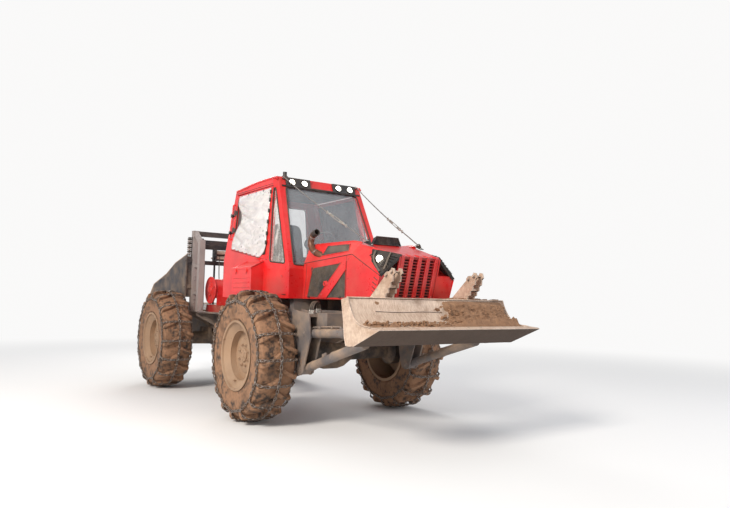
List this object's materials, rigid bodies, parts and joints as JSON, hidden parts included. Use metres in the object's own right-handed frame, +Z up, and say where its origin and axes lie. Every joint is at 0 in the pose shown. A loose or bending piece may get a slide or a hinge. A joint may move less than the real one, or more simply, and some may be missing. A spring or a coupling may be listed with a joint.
{
  "type": "articulated forestry cable skidder",
  "caption": "Articulated forestry tractor with a raised front blade, a red cab, a winch and tower, a log shield and tyre chains.",
  "frame": {"origin": "on the ground, midway between the blade's tip and the shield's rear end", "axes": "+X forward, +Y to the driver's left, +Z up"},
  "size_m": [7.265, 2.6136, 3.072],
  "materials": {
    "red_paint": "worn bright red paint",
    "deep_red_paint": "deep red paint",
    "frame_paint": "dark grey paint under dried mud",
    "black_paint": "black paint, satin",
    "shield_paint": "dark blue-grey paint, scraped",
    "tower_paint": "light grey paint, worn",
    "cast_dark": "dusty casting",
    "rusty_steel": "rusted steel",
    "worn_steel": "scraped steel with brown soil",
    "bright_rod": "polished rod",
    "chain_steel": "muddy chain steel",
    "tyre_rubber": "rubber under dry mud",
    "rim_paint": "cream paint under dry mud",
    "window_glass": "clear glazing",
    "milky_pane": "milky wrinkled sheet",
    "seat_fabric": "dark upholstery",
    "dark_plastic": "dark moulded plastic",
    "hose_rubber": "black hose",
    "black_mesh": "dark mesh"
  },
  "bodies": {
    "front": {"front_frame": "frame_paint", "front_yoke": "frame_paint", "engine_block": "cast_dark", "hood_shell": "red_paint", "hood_screens": "black_mesh", "front_grille": "deep_red_paint", "headlights": "black_paint", "exhaust_pipe": "rusty_steel", "cab_shell": "red_paint", "cab_roof": "red_paint", "cab_windows": "window_glass", "driver_seat": "seat_fabric", "driver_controls": "dark_plastic", "roof_lamps": "black_paint", "side_boxes": "red_paint", "front_axle": "cast_dark", "limb_risers": "black_paint", "hydraulic_hoses": "hose_rubber", "articulation_pins": "worn_steel"},
    "rear": {"rear_frame": "frame_paint", "rear_axle": "cast_dark", "tower": "tower_paint", "tower_rollers": "worn_steel", "winch_housing": "deep_red_paint", "rear_shield": "shield_paint"},
    "wheel_front_left": {"tyre_front_left": "tyre_rubber", "rim_front_left": "rim_paint", "chain_front_left": "chain_steel"},
    "wheel_front_right": {"tyre_front_right": "tyre_rubber", "rim_front_right": "rim_paint", "chain_front_right": "chain_steel"},
    "wheel_rear_left": {"tyre_rear_left": "tyre_rubber", "rim_rear_left": "rim_paint", "chain_rear_left": "chain_steel"},
    "wheel_rear_right": {"tyre_rear_right": "tyre_rubber", "rim_rear_right": "rim_paint", "chain_rear_right": "chain_steel"},
    "blade_frame": {"blade": "worn_steel", "blade_horns": "worn_steel", "push_arms": "frame_paint"},
    "lift_barrel": {"lift_barrels": "frame_paint"},
    "lift_rod": {"lift_rods": "bright_rod"},
    "steer_barrel_left": {"steer_barrel_left": "frame_paint"},
    "steer_rod_left": {"steer_rod_left": "bright_rod"},
    "steer_barrel_right": {"steer_barrel_right": "frame_paint"},
    "steer_rod_right": {"steer_rod_right": "bright_rod"},
    "door_left": {"door_left": "red_paint", "door_pane_left": "milky_pane"},
    "door_right": {"door_right": "red_paint", "door_pane_right": "milky_pane"},
    "winch": {"winch_drum": "deep_red_paint"}
  },
  "joints": [
    {"name": "steering", "type": "hinge", "parent": "front", "child": "rear", "pos_m": [-0.466, 0, 0.926], "axis": [0, 0, 1], "range_deg": [-40, 40]},
    {"name": "roll_front_left", "type": "hinge", "parent": "front", "child": "wheel_front_left", "pos_m": [1.1675, 1.0695, 0.76033], "axis": [0, 1, 0], "continuous": true},
    {"name": "roll_front_right", "type": "hinge", "parent": "front", "child": "wheel_front_right", "pos_m": [1.1675, -1.0695, 0.76033], "axis": [0, 1, 0], "continuous": true},
    {"name": "roll_rear_left", "type": "hinge", "parent": "rear", "child": "wheel_rear_left", "pos_m": [-2.0995, 1.0695, 0.76033], "axis": [0, 1, 0], "continuous": true},
    {"name": "roll_rear_right", "type": "hinge", "parent": "rear", "child": "wheel_rear_right", "pos_m": [-2.0995, -1.0695, 0.76033], "axis": [0, 1, 0], "continuous": true},
    {"name": "blade_lift", "type": "hinge", "parent": "front", "child": "blade_frame", "pos_m": [1.8615, 0, 0.652], "axis": [0, 1, 0], "range_deg": [0, 36]},
    {"name": "lift_barrel_turn", "type": "hinge", "parent": "front", "child": "lift_barrel", "pos_m": [1.9385, 0, 1.048], "axis": [0, 1, 0], "range_deg": [0, 37]},
    {"name": "lift_rod_slide", "type": "slide", "parent": "lift_barrel", "child": "lift_rod", "axis": [0.9985, 0, 0.0553], "range_m": [0, 0.26]},
    {"name": "steer_barrel_turn_left", "type": "hinge", "parent": "front", "child": "steer_barrel_left", "pos_m": [0.184, 0.2, 0.9], "axis": [0, 0, 1], "range_deg": [-4, 4]},
    {"name": "steer_rod_slide_left", "type": "slide", "parent": "steer_barrel_left", "child": "steer_rod_left", "axis": [-0.9975, -0.0712, 0], "range_m": [-0.105, 0.105]},
    {"name": "steer_barrel_turn_right", "type": "hinge", "parent": "front", "child": "steer_barrel_right", "pos_m": [0.184, -0.2, 0.9], "axis": [0, 0, 1], "range_deg": [-4, 4]},
    {"name": "steer_rod_slide_right", "type": "slide", "parent": "steer_barrel_right", "child": "steer_rod_right", "axis": [-0.9975, 0.0712, 0], "range_m": [-0.105, 0.105]},
    {"name": "door_swing_left", "type": "hinge", "parent": "front", "child": "door_left", "pos_m": [-0.2475, 0.77763, 2.096], "axis": [-0.1545, -0.1497, 0.9766], "range_deg": [0, 80]},
    {"name": "door_swing_right", "type": "hinge", "parent": "front", "child": "door_right", "pos_m": [-0.2475, -0.77763, 2.096], "axis": [0.1545, -0.1497, -0.9766], "range_deg": [0, 80]},
    {"name": "winch_turn", "type": "hinge", "parent": "rear", "child": "winch", "pos_m": [-1.6625, 0, 1.535], "axis": [0, 1, 0], "continuous": true}
  ],
  "couplings": [
    {"joint": "lift_barrel_turn", "follows": "blade_lift", "ratio": 1.0041},
    {"joint": "lift_rod_slide", "follows": "blade_lift", "m_per_rad": 0.3987},
    {"joint": "steer_barrel_turn_left", "follows": "steering", "ratio": 0.0472},
    {"joint": "steer_rod_slide_left", "follows": "steering", "m_per_rad": 0.1466},
    {"joint": "steer_barrel_turn_right", "follows": "steering", "ratio": 0.0472},
    {"joint": "steer_rod_slide_right", "follows": "steering", "m_per_rad": -0.1466}
  ]
}
